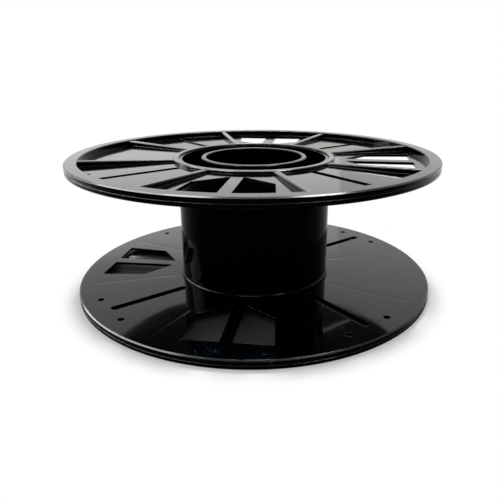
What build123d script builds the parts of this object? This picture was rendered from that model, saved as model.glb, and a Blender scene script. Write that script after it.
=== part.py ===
from build123d import *
import os

# Empty filament spool, standing on its lower flange: two like ribbed flanges on a hollow core.
# Millimetres, +Z up, origin at the centre of the ring that the spool stands on.

# Overall sizes
flange_dia = 200.0
spool_width = 74.4

# Flange section
flange_depth = 4.8
plate_thickness = 1.5
rim_width = 6.4
rim_edge_bevel = 0.6
rim_inner_edge_bevel = 0.4
rim_groove_width = 0.7
rim_groove_depth = 0.3
hub_ring_wall = 3.2
hub_ring_drop = 1.7
hub_ring_edge_bevel = 0.4

# Ribs of a flange, which slope from the rim down to the hub ring
rib_count = 8
rib_width = 3.2
rib_drop_at_rim = 0.5
rib_drop_at_hub = 2.0
rib_edge_bevel = 0.4

# Windows, in pairs either side of a bar, in three of a flange's four window pockets
window_pocket_angles = (0, 180, 270)
bar_width = 6.0
window_rim_gap = 7.1
window_hub_gap = 5.1
window_outer_half = 22.0
window_shoulder_half = 19.2
window_shoulder_reach = 62.2
window_corner_radius = 0.8

# Filament slots and anchor holes, in the pockets between
slot_pocket_angles = (45, 135, 225, 315)
slot_width = 4.4
slot_rim_gap = 4.1
slot_hub_gap = 2.0
anchor_hole_dia = 3.5
anchor_rim_gap = 1.35
anchor_hole_angle = 8.4

# Core
drum_dia = 84.9
drum_wall = 2.5
bead_width = 0.9
bead_height = 1.6
bead_edge_bevel = 0.4
flange_seat_dia = 83.4
spigot_wall = 1.6
spigot_length = 2.2
spigot_clearance = 0.15
spigot_root = 3.0
bore_dia = 53.4
bore_wall = 2.7
bore_end_drop = 2.1
bore_edge_bevel = 0.4
web_count = 8
web_thickness = 2.0
web_recess = 12.0

# Both flanges share one line of window pockets, turned this far from +X
window_line_angle = 81.2

# Values worked out from the sizes above
flange_radius = flange_dia / 2
rim_inner_radius = flange_radius - rim_width
seat_radius = flange_seat_dia / 2
hub_ring_radius = seat_radius + hub_ring_wall
hub_ring_height = flange_depth - hub_ring_drop
rib_height_at_rim = flange_depth - rib_drop_at_rim
rib_height_at_hub = flange_depth - rib_drop_at_hub
rib_slope = (rib_height_at_rim - rib_height_at_hub) / (rim_inner_radius - hub_ring_radius)
window_outer_reach = rim_inner_radius - window_rim_gap
window_nose_reach = hub_ring_radius + window_hub_gap
slot_outer_reach = rim_inner_radius - slot_rim_gap
slot_inner_reach = hub_ring_radius + slot_hub_gap
anchor_circle_radius = rim_inner_radius - anchor_rim_gap - anchor_hole_dia / 2
drum_radius = drum_dia / 2
drum_inner_radius = drum_radius - drum_wall
bore_radius = bore_dia / 2
bore_tube_radius = bore_radius + bore_wall
web_angle = window_line_angle + 180 / web_count

window_line = Vector(1, 0, 0).rotate(Axis.Z, window_line_angle)
lower_face = Plane(origin=(0, 0, flange_depth), x_dir=window_line, z_dir=(0, 0, -1))
upper_face = Plane(origin=(0, 0, spool_width - flange_depth), x_dir=window_line, z_dir=(0, 0, 1))


def pocket_plane(inner_face, angle):
    """A flange's inner face, with x running out along the middle of the pocket at that angle."""
    return Plane(inner_face.location * Rotation(0, 0, angle))


def radial_plane(inner_face, angle):
    """A plane through a flange's axis: x runs outward, y runs away from the winding space."""
    pocket = pocket_plane(inner_face, angle)
    return Plane(origin=pocket.origin, x_dir=pocket.x_dir, z_dir=-pocket.y_dir)


def rib_plane(inner_face, angle, reach):
    """A plane square to a rib at that reach from the axis: y runs away from the winding space."""
    pocket = pocket_plane(inner_face, angle)
    return Plane(origin=pocket.origin + pocket.x_dir * reach, x_dir=pocket.y_dir, z_dir=pocket.x_dir)


def make_flange(inner_face):
    """One flange, moulded in one piece, whose inner face lies on the given plane."""
    with BuildPart() as flange:
        # Hub ring, plate and rim, turned about the axis
        with BuildSketch(radial_plane(inner_face, 0)) as section:
            with Locations((seat_radius, 0)):
                Rectangle(hub_ring_wall, hub_ring_height, align=Align.MIN)
                hub_ring_corners = section.vertices().group_by(Axis.Y)[-1]
                chamfer(hub_ring_corners, hub_ring_edge_bevel)
                Rectangle(flange_radius - seat_radius, plate_thickness, align=Align.MIN)
            with Locations((rim_inner_radius, 0)):
                Rectangle(rim_width, flange_depth, align=Align.MIN)
            rim_outer_corners = section.vertices().group_by(Axis.X)[-1]
            chamfer(rim_outer_corners, rim_edge_bevel)
            rim_inner_corner = section.vertices().group_by(Axis.Y)[-1].sort_by(Axis.X)[0]
            chamfer(rim_inner_corner, rim_inner_edge_bevel)
            with Locations((flange_radius, flange_depth / 2)):
                Rectangle(2 * rim_groove_depth, rim_groove_width, mode=Mode.SUBTRACT)
        revolve(axis=Axis(inner_face.origin, inner_face.z_dir))

        # Ribs, each lofted from inside the hub ring's wall to inside the rim
        for rib in range(rib_count):
            rib_angle = (rib + 0.5) * 360 / rib_count
            for reach in (hub_ring_radius - hub_ring_wall / 2, rim_inner_radius + rim_width / 2):
                height = rib_height_at_hub + rib_slope * (reach - hub_ring_radius)
                with BuildSketch(rib_plane(inner_face, rib_angle, reach)) as rib_end:
                    Rectangle(rib_width, height, align=(Align.CENTER, Align.MIN))
                    chamfer(rib_end.vertices().group_by(Axis.Y)[-1], rib_edge_bevel)
            loft()

        # Window pairs
        for angle in window_pocket_angles:
            with BuildSketch(pocket_plane(inner_face, angle)) as windows:
                with BuildLine():
                    Polyline(
                        (window_nose_reach, bar_width / 2),
                        (window_outer_reach, bar_width / 2),
                        (window_outer_reach, window_outer_half),
                        (window_shoulder_reach, window_shoulder_half),
                        close=True,
                    )
                make_face()
                fillet(windows.vertices(), window_corner_radius)
                mirror(about=Plane.XZ)
            extrude(amount=plate_thickness, mode=Mode.SUBTRACT)

        # Filament slots, each with an anchor hole either side of its outer end
        for angle in slot_pocket_angles:
            with BuildSketch(pocket_plane(inner_face, angle)):
                with Locations(((slot_inner_reach + slot_outer_reach) / 2, 0)):
                    SlotOverall(slot_outer_reach - slot_inner_reach, slot_width)
                for hole_angle in (-anchor_hole_angle, anchor_hole_angle):
                    with PolarLocations(anchor_circle_radius, 1, hole_angle):
                        Circle(anchor_hole_dia / 2)
            extrude(amount=plate_thickness, mode=Mode.SUBTRACT)
    return flange.part


def make_core():
    """Drum and bore tube joined by radial webs, in one piece, with a spigot at each end."""
    half_width = spool_width / 2
    spigot_radius = seat_radius - spigot_clearance
    spigot_inner_radius = spigot_radius - spigot_wall
    with BuildPart() as core:
        # Lower half of the bore tube, drum, bead and spigot, mirrored and turned about the axis
        with BuildSketch(Plane.XZ) as section:
            with Locations((bore_radius, bore_end_drop)):
                Rectangle(bore_wall, half_width - bore_end_drop, align=Align.MIN)
            bore_end_corners = section.vertices().group_by(Axis.Y)[0]
            chamfer(bore_end_corners, bore_edge_bevel)
            with Locations((drum_inner_radius, flange_depth)):
                Rectangle(drum_wall, half_width - flange_depth, align=Align.MIN)
            with Locations((spigot_inner_radius, flange_depth - spigot_length)):
                Rectangle(spigot_wall, spigot_length + spigot_root, align=Align.MIN)
            with BuildLine():
                Polyline(
                    (spigot_inner_radius, flange_depth),
                    (drum_radius, flange_depth),
                    (drum_radius, flange_depth + spigot_root),
                    (spigot_inner_radius, flange_depth + spigot_root),
                    close=True,
                )
            make_face()
            with Locations((drum_radius, flange_depth)):
                Rectangle(bead_width, bead_height, align=Align.MIN)
            bead_corner = section.vertices().group_by(Axis.X)[-1].sort_by(Axis.Y)[-1]
            chamfer(bead_corner, bead_edge_bevel)
            mirror(about=Plane.XZ.offset(-half_width))
        revolve(axis=Axis.Z)

        # Webs between the two tubes, set back from the bore tube's ends
        with BuildSketch(Plane.XY.offset(bore_end_drop + web_recess)):
            with PolarLocations((bore_radius + drum_radius) / 2, web_count, web_angle):
                Rectangle(drum_radius - bore_radius - (drum_wall + bore_wall) / 2, web_thickness)
        extrude(amount=spool_width - 2 * (bore_end_drop + web_recess))
    return core.part


os.makedirs("parts", exist_ok=True)
pieces = {
    "lower_flange": make_flange(lower_face),
    "core": make_core(),
    "upper_flange": make_flange(upper_face),
}
for name, piece in pieces.items():
    piece.label = name
    export_step(piece, f"parts/{name}.step")
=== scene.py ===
import math

import bpy
from mathutils import Matrix, Vector

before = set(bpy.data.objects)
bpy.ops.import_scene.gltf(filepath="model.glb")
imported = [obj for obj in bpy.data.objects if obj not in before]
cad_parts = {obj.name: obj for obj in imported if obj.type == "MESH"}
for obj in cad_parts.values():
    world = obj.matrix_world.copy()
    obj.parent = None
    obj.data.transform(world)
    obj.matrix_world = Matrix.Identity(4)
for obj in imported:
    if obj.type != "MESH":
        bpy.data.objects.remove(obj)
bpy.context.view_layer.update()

# A flange's ribs and plate, in degrees and metres, as the frame has them
RIB_TURN = 13.7
RIB_STEP = 45.0
PLATE_INNER = 0.0449
PLATE_OUTER = 0.0936

# Sink marks over the ribs, in metres: half the flat middle, half the width, and the fade at an end
SINK_MIDDLE = 0.0004
SINK_SIDE = 0.0019
SINK_FADE = 0.004

# Radius to which a moulded edge is rounded off, and depth of the surface's relief, in metres
EDGE_RADIUS = 0.00025
RELIEF_DEPTH = 0.00012

# Height of the grain and of the sink marks in that relief, where the flow waves have 1
GRAIN_HEIGHT = 0.015
SINK_HEIGHT = -0.35

# Scales of the patterns, in cells to the metre; a scratch has one along, one across and one upward
WAVE_SCALE = 38.0
GRAIN_SCALE = 1400.0
RUB_SCALE = 22.0
DUST_SCALE = 210.0
SCRATCH_SCALE = (28.0, 620.0, 60.0)
PATCH_SCALE = 55.0

# Each layer of scratches: its direction in radians, and the factor on its scales
SCRATCH_LAYERS = ((0.35, 0.9), (1.2, 1.3), (1.9, 1.0), (2.7, 1.1))

# Value that a noise varies about, and values of each pattern between which its mark comes or goes
NOISE_MIDDLE = 0.5
RUB_START = (0.42, 0.72)
SCRATCH_EDGE = (0.004, 0.016)
PATCH_START = (0.6, 0.68)
SPECK_EDGE = (0.035, 0.075)
SPECK_CHANCE = (0.86, 0.9)

# Strength of scratches and dust at full wear
SCRATCH_STRENGTH = 0.45
DUST_STRENGTH = 0.8

# Distances from the axis, in metres, over which marks gain full strength, and their share nearer in
HANDLED_START = (0.06, 0.088)
UNHANDLED_SHARE = 0.25

# How upright a normal is where walls give way to edges, and where edges give way to level faces
WALL_END = (0.15, 0.4)
LEVEL_START = (0.85, 0.98)

# Colour of the plastic and of the marks on it
DEEP_BLACK = (0.0010, 0.0025, 0.0038, 1.0)
MARK_GREY = (0.16, 0.16, 0.16, 1.0)

# Roughness of the polished plastic, and what rub marks, other marks and edges add to it
POLISHED = 0.06
RUBS_ADD = 0.05
MARKS_ADD = 0.3
EDGES_ADD = 0.12

# Finishes: IOR of level faces and of walls, tint of the gloss and of the edges' gloss, sink marks
FLANGE_FINISH = {
    "ior": 1.5,
    "wall_ior": 1.25,
    "gloss_tint": (0.096, 0.102, 0.106, 1.0),
    "edge_tint": (0.7, 0.7, 0.7, 1.0),
    "sinks": True,
}
CORE_FINISH = {
    "ior": 1.22,
    "wall_ior": 1.08,
    "gloss_tint": (0.04, 0.046, 0.052, 1.0),
    "edge_tint": (0.9, 0.9, 0.9, 1.0),
    "sinks": False,
}

# The floor: half of its side, in metres, the pattern and range of its tone, and its finish
FLOOR_HALF = 6.0
FLOOR_TONE_SCALE = 3.0
FLOOR_TONE_START = (0.3, 0.7)
FLOOR_TONES = (0.9, 0.92)
FLOOR_ROUGHNESS = 0.9
FLOOR_SPECULAR = 0.1

# The floor's white: distances from the axis over which it begins, and over which along Y it turns
# from dim to bright in gloss, all in metres, and how dim
FLOOR_WHITE_START = (0.09, 0.112)
FLOOR_BRIGHT_START = (-0.15, 0.22)
FLOOR_DIMMEST = 0.04

# The room: where in a direction's Y it turns from dim to bright, and how dim
ROOM_BRIGHT_START = (-0.35, 0.45)
ROOM_DIMMEST = 0.05

# The room's strength as light, and the least that it shows in gloss
ROOM_LIGHT = 0.12
ROOM_GLOSS_LEAST = 0.45
WHITE = (1.0, 1.0, 1.0, 1.0)
WARM_WHITE = (1.0, 1.0, 0.96, 1.0)

# What every lamp faces, and the direction of a lamp's width unless it is given
SPOOL_MIDDLE = (0.0, 0.0, 0.04)
SIDEWAYS = (1.0, 0.0, 0.0)


class Nodes:
    """A node tree, with short calls for the nodes that finishes, floor and world share."""

    def __init__(self, tree):
        self.tree = tree
        self.tree.nodes.clear()

    def add(self, kind, **settings):
        node = self.tree.nodes.new(kind)
        for key, value in settings.items():
            setattr(node, key, value)
        return node

    def fill(self, kind, inputs, **settings):
        """A new node, with each of those inputs linked to a socket or set to a value."""
        node = self.add(kind, **settings)
        for key, value in inputs.items():
            if isinstance(value, bpy.types.NodeSocket):
                self.tree.links.new(value, node.inputs[key])
            else:
                node.inputs[key].default_value = value
        return node

    def math(self, operation, a, b=0.0, c=0.0):
        return self.fill("ShaderNodeMath", {0: a, 1: b, 2: c}, operation=operation).outputs[0]

    def ramp(self, value, start, end, low=0.0, high=1.0):
        """Low up to start, high from end on, and a soft step between."""
        steps = {"Value": value, "From Min": start, "From Max": end, "To Min": low, "To Max": high}
        node = self.fill("ShaderNodeMapRange", steps, interpolation_type="SMOOTHSTEP")
        return node.outputs["Result"]

    def fade(self, value, start, end):
        """1 up to start, 0 from end on, and a soft step between."""
        return self.ramp(value, start, end, 1.0, 0.0)

    def noise(self, place, scale, detail=2.0, roughness=0.5):
        look = {"Vector": place, "Scale": scale, "Detail": detail, "Roughness": roughness}
        return self.fill("ShaderNodeTexNoise", look).outputs[0]

    def axes(self, vector):
        """The outputs X, Y and Z of a vector."""
        return self.fill("ShaderNodeSeparateXYZ", {0: vector}).outputs

    def mix_colours(self, factor, first, second):
        """The first colour where the factor is 0, and the second where it is 1."""
        colours = {"Factor": factor, "A": first, "B": second}
        return self.fill("ShaderNodeMix", colours, data_type="RGBA").outputs["Result"]

    def mix_shaders(self, factor, first, second):
        """The first shader where the factor is 0, and the second where it is 1."""
        return self.fill("ShaderNodeMixShader", {0: factor, 1: first, 2: second}).outputs[0]


def new_material(name):
    """A material of that name, and its empty node tree."""
    material = bpy.data.materials.new(name)
    material.use_nodes = True
    return material, Nodes(material.node_tree)


def rib_sinks(n, x, y, reach):
    """1 along the middle of each rib's line on a flange's plate, and 0 away from it."""
    step = math.radians(RIB_STEP)
    first = math.radians(RIB_TURN) - step / 2
    turn = n.math("SUBTRACT", n.math("ARCTAN2", y, x), first)
    off = n.math("SUBTRACT", n.math("FLOORED_MODULO", turn, step), step / 2)
    aside = n.math("ABSOLUTE", n.math("MULTIPLY", off, reach))
    along = n.math(
        "MULTIPLY",
        n.ramp(reach, PLATE_INNER, PLATE_INNER + SINK_FADE),
        n.fade(reach, PLATE_OUTER - SINK_FADE, PLATE_OUTER),
    )
    return n.math("MULTIPLY", n.fade(aside, SINK_MIDDLE, SINK_SIDE), along)


def hairlines(n, place):
    """Hairline scratches: short thin lines in four directions, in patches."""
    along, across, upward = SCRATCH_SCALE
    scratches = 0.0
    for angle, factor in SCRATCH_LAYERS:
        direction = {"Vector": place, "Angle": angle}
        turned = n.fill("ShaderNodeVectorRotate", direction, rotation_type="Z_AXIS").outputs[0]
        stretch = {"Vector": turned, "Scale": (along * factor, across * factor, upward)}
        lines = n.noise(n.fill("ShaderNodeMapping", stretch).outputs[0], 1.0, detail=0.0)
        off_middle = n.math("ABSOLUTE", n.math("SUBTRACT", lines, NOISE_MIDDLE))
        hair = n.fade(off_middle, *SCRATCH_EDGE)
        patches = n.ramp(n.noise(turned, PATCH_SCALE * factor, detail=1.0), *PATCH_START)
        scratches = n.math("MAXIMUM", n.math("MULTIPLY", hair, patches), scratches)
    return scratches


def dust_specks(n, place):
    """Small round specks, one in some of the cells."""
    cells = n.fill("ShaderNodeTexVoronoi", {"Vector": place, "Scale": DUST_SCALE}, feature="F1")
    chance = n.fill("ShaderNodeSeparateColor", {0: cells.outputs["Color"]}).outputs[0]
    speck = n.fade(cells.outputs["Distance"], *SPECK_EDGE)
    return n.math("MULTIPLY", speck, n.ramp(chance, *SPECK_CHANCE))


def black_plastic(name, wear, ior, wall_ior, gloss_tint, edge_tint, sinks):
    """Deep glossy black moulded plastic: rounded edges, faint waves, rub marks and some wear."""
    material, n = new_material(name)
    place = n.add("ShaderNodeTexCoord").outputs["Object"]
    x, y = n.axes(place)[:2]
    reach = n.math("SQRT", n.math("ADD", n.math("MULTIPLY", x, x), n.math("MULTIPLY", y, y)))

    # Flow waves of the moulding, wide and very shallow, a fine grain, and sink marks where wanted
    waves = n.noise(place, WAVE_SCALE, detail=1.0)
    height = n.math("MULTIPLY_ADD", n.noise(place, GRAIN_SCALE), GRAIN_HEIGHT, waves)
    if sinks:
        height = n.math("MULTIPLY_ADD", rib_sinks(n, x, y, reach), SINK_HEIGHT, height)
    rounded = n.fill("ShaderNodeBevel", {"Radius": EDGE_RADIUS}, samples=6).outputs[0]
    relief = {"Strength": 1.0, "Distance": RELIEF_DEPTH, "Height": height, "Normal": rounded}
    bumped = n.fill("ShaderNodeBump", relief).outputs[0]

    # Edges and bevels, which face neither up or down nor straight out, catch the lamps more
    upright = n.math("ABSOLUTE", n.axes(rounded)["Z"])
    edge = n.math("MULTIPLY", n.ramp(upright, *WALL_END), n.fade(upright, *LEVEL_START))

    # Scratches and dust, weaker towards the axis
    scratches = n.math("MULTIPLY", hairlines(n, place), SCRATCH_STRENGTH * wear)
    dust = n.math("MULTIPLY", dust_specks(n, place), DUST_STRENGTH * wear)
    handled = n.ramp(reach, *HANDLED_START, UNHANDLED_SHARE, 1.0)
    marks = n.math("MULTIPLY", n.math("MAXIMUM", scratches, dust), handled)

    rubs = n.ramp(n.noise(place, RUB_SCALE, detail=4.0, roughness=0.62), *RUB_START)
    rough = n.math("MULTIPLY_ADD", rubs, RUBS_ADD, POLISHED)
    rough = n.math("MULTIPLY_ADD", marks, MARKS_ADD, rough)
    rough = n.math("MULTIPLY_ADD", edge, EDGES_ADD, rough)

    look = {
        "Base Color": n.mix_colours(marks, DEEP_BLACK, MARK_GREY),
        "Roughness": rough,
        "Normal": bumped,
        "IOR": n.ramp(upright, *WALL_END, wall_ior, ior),
        "Specular Tint": n.mix_colours(edge, gloss_tint, edge_tint),
    }
    shader = n.fill("ShaderNodeBsdfPrincipled", look).outputs[0]
    n.fill("ShaderNodeOutputMaterial", {"Surface": shader})
    return material


def dress(node, material):
    """Gives a CAD node that material in place of its plain one."""
    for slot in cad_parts[node].material_slots:
        slot.material = material


def floor_white():
    """A pale tone that takes the shadow close to the spool, and plain white further out."""
    material, n = new_material("floor_white")
    place = n.add("ShaderNodeTexCoord").outputs["Object"]
    tone = n.ramp(n.noise(place, FLOOR_TONE_SCALE), *FLOOR_TONE_START, *FLOOR_TONES)
    look = {
        "Base Color": tone,
        "Roughness": FLOOR_ROUGHNESS,
        "Specular IOR Level": FLOOR_SPECULAR,
    }
    pale = n.fill("ShaderNodeBsdfPrincipled", look).outputs[0]

    # The camera sees an even white; in gloss the white turns dark towards the camera's side
    path = n.add("ShaderNodeLightPath").outputs
    mirrored = n.ramp(n.axes(place)["Y"], *FLOOR_BRIGHT_START, FLOOR_DIMMEST, 1.0)
    strength = n.math("MAXIMUM", path["Is Camera Ray"], mirrored)
    white = n.fill("ShaderNodeEmission", {"Strength": strength}).outputs[0]

    # Rays of diffuse light meet the pale tone everywhere
    length = n.fill("ShaderNodeVectorMath", {0: place}, operation="LENGTH").outputs["Value"]
    seen = n.math("MAXIMUM", path["Is Camera Ray"], path["Is Glossy Ray"])
    factor = n.math("MULTIPLY", n.ramp(length, *FLOOR_WHITE_START), seen)
    n.fill("ShaderNodeOutputMaterial", {"Surface": n.mix_shaders(factor, pale, white)})
    return material


def floor_and_backdrop():
    """A floor that runs out into the white background."""
    mesh = bpy.data.meshes.new("floor")
    turns = ((-1, -1), (1, -1), (1, 1), (-1, 1))
    corners = [(x * FLOOR_HALF, y * FLOOR_HALF, 0.0) for x, y in turns]
    mesh.from_pydata(corners, [], [(0, 1, 2, 3)])
    mesh.materials.append(floor_white())
    floor = bpy.data.objects.new("floor", mesh)
    bpy.context.scene.collection.objects.link(floor)


def world_light():
    """White to the camera, and otherwise a room, bright behind the spool and dim on the near side."""
    world = bpy.data.worlds.new("studio")
    bpy.context.scene.world = world
    world.use_nodes = True
    n = Nodes(world.node_tree)

    def background(strength, colour=WHITE):
        look = {"Color": colour, "Strength": strength}
        return n.fill("ShaderNodeBackground", look).outputs[0]

    direction = n.add("ShaderNodeTexCoord").outputs["Generated"]
    room = n.ramp(n.axes(direction)["Y"], *ROOM_BRIGHT_START, ROOM_DIMMEST, 1.0)
    lit = background(n.math("MULTIPLY", room, ROOM_LIGHT))
    lifted = n.fill("ShaderNodeMapRange", {"Value": room, "To Min": ROOM_GLOSS_LEAST})
    mirrored = background(lifted.outputs["Result"], WARM_WHITE)
    path = n.add("ShaderNodeLightPath").outputs
    unseen = n.mix_shaders(path["Is Glossy Ray"], lit, mirrored)
    surface = n.mix_shaders(path["Is Camera Ray"], unseen, background(1.0))
    n.fill("ShaderNodeOutputWorld", {"Surface": surface})


def set_up(thing, place, across, upward, back):
    """Adds a lamp or camera to the scene at that place, its X, Y and Z along the three directions."""
    bpy.context.scene.collection.objects.link(thing)
    turn = Matrix((across, upward, back)).transposed().to_4x4()
    thing.matrix_world = Matrix.Translation(place) @ turn


def area_lamp(name, place, size, watts, along=SIDEWAYS):
    """A lamp that faces the spool's middle, its width lying along that direction."""
    data = bpy.data.lights.new(name, "AREA")
    data.shape = "RECTANGLE"
    data.size, data.size_y = size
    data.energy = watts
    lamp = bpy.data.objects.new(name, data)
    back = (Vector(place) - Vector(SPOOL_MIDDLE)).normalized()
    upward = back.cross(Vector(along)).normalized()
    set_up(lamp, place, upward.cross(back), upward, back)
    return lamp


def gloss_card(name, place, size, watts, along=SIDEWAYS):
    """A lamp that shows in gloss and adds no diffuse light."""
    area_lamp(name, place, size, watts, along).visible_diffuse = False


def photo_camera():
    """The photograph's camera, as its fit to the rims, ribs, windows and drum gave it."""
    place = (0.0, -0.275349, 0.120423)
    yaw, pitch, roll = 0.020456, 0.324331, -0.001887
    reach = math.cos(pitch)
    forward = Vector((math.sin(yaw) * reach, math.cos(yaw) * reach, -math.sin(pitch)))
    level = forward.cross(Vector((0.0, 0.0, 1.0))).normalized()
    upward = level.cross(forward)
    right = level * math.cos(roll) + upward * math.sin(roll)
    top = upward * math.cos(roll) - level * math.sin(roll)
    data = bpy.data.cameras.new("photo_camera")
    data.sensor_width = 36.0
    data.lens = 35.432
    data.shift_x = -0.02832
    data.shift_y = -0.03883
    data.clip_start = 0.01
    camera = bpy.data.objects.new("photo_camera", data)
    set_up(camera, place, right, top, -forward)
    bpy.context.scene.camera = camera


dress("lower_flange", black_plastic("flange_black_lower", wear=0.8, **FLANGE_FINISH))
dress("upper_flange", black_plastic("flange_black_upper", wear=0.2, **FLANGE_FINISH))
dress("core", black_plastic("core_black", wear=0.05, **CORE_FINISH))

floor_and_backdrop()
world_light()
area_lamp("softbox_top", (0.0, 0.63, 1.4), (0.3, 0.3), watts=22.0)
area_lamp("softbox_back", (-0.5, 1.4, 0.42), (1.8, 0.26), watts=0.5)
gloss_card("card_left", (-0.42, -0.22, 0.91), (0.3, 0.3), watts=6.5)
gloss_card("card_right", (0.42, -0.22, 0.91), (0.3, 0.3), watts=11.0)
gloss_card("card_front", (0.0, -0.35, 0.95), (1.3, 0.4), watts=4.0)
gloss_card("card_side", (-0.745, -0.13, 0.63), (0.75, 0.3), watts=8.0, along=(0.35, -0.56, 0.32))
gloss_card("card_low", (-0.905, 0.325, 0.35), (0.5, 0.26), watts=4.0, along=(-0.03, -0.35, 0.25))
gloss_card("card_high", (-0.70, 0.12, 0.79), (0.62, 0.2), watts=5.5, along=(0.2, -0.47, 0.29))
photo_camera()
bpy.context.scene.view_settings.view_transform = "Standard"
